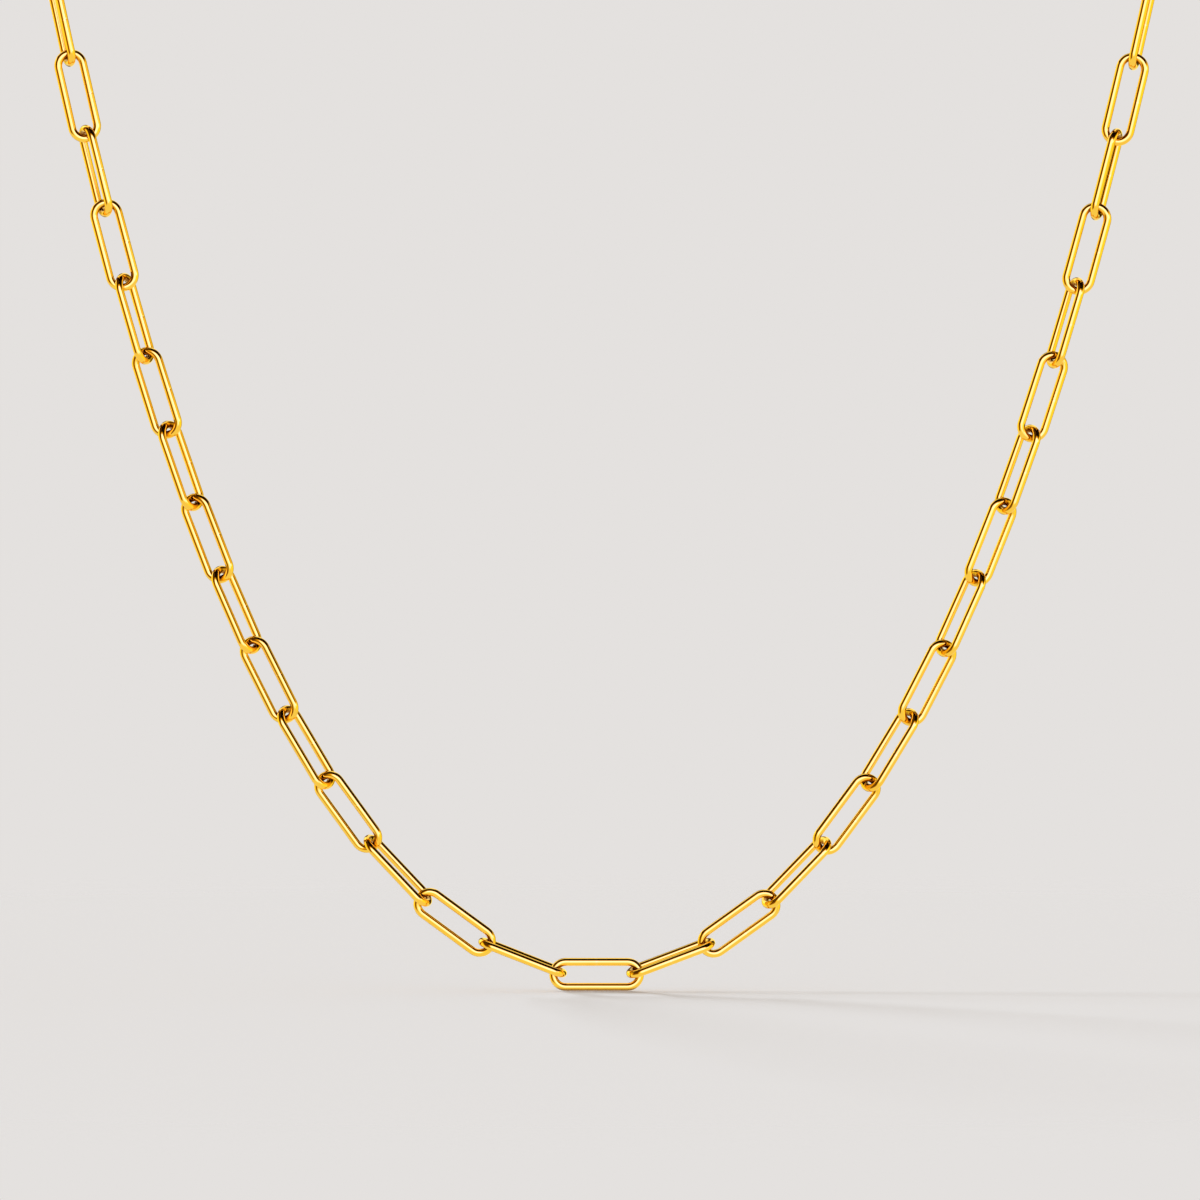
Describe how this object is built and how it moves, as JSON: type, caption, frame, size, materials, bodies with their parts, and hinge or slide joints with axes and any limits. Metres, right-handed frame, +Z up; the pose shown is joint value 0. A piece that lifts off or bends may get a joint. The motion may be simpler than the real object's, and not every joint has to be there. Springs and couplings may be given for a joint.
{
  "type": "paperclip chain necklace",
  "caption": "Necklace of interlocked long oval wire links that hangs in a U from the neck and closes at the nape with a plain hook clasp.",
  "frame": {"origin": "middle of the clasp at the nape, where the neck carries the necklace", "axes": "+X to the right of someone who looks at the front, +Y from the front to the nape, +Z up"},
  "size_m": [0.13, 0.0776, 0.1416],
  "materials": {
    "link_gold": "highly polished yellow gold plate",
    "clasp_gold": "polished yellow gold plate"
  },
  "bodies": {
    "root": {"left_chain": "link_gold", "right_chain": "link_gold", "clasp": "clasp_gold", "clasp_ring": "link_gold", "end_ring": "link_gold"}
  },
  "joints": []
}
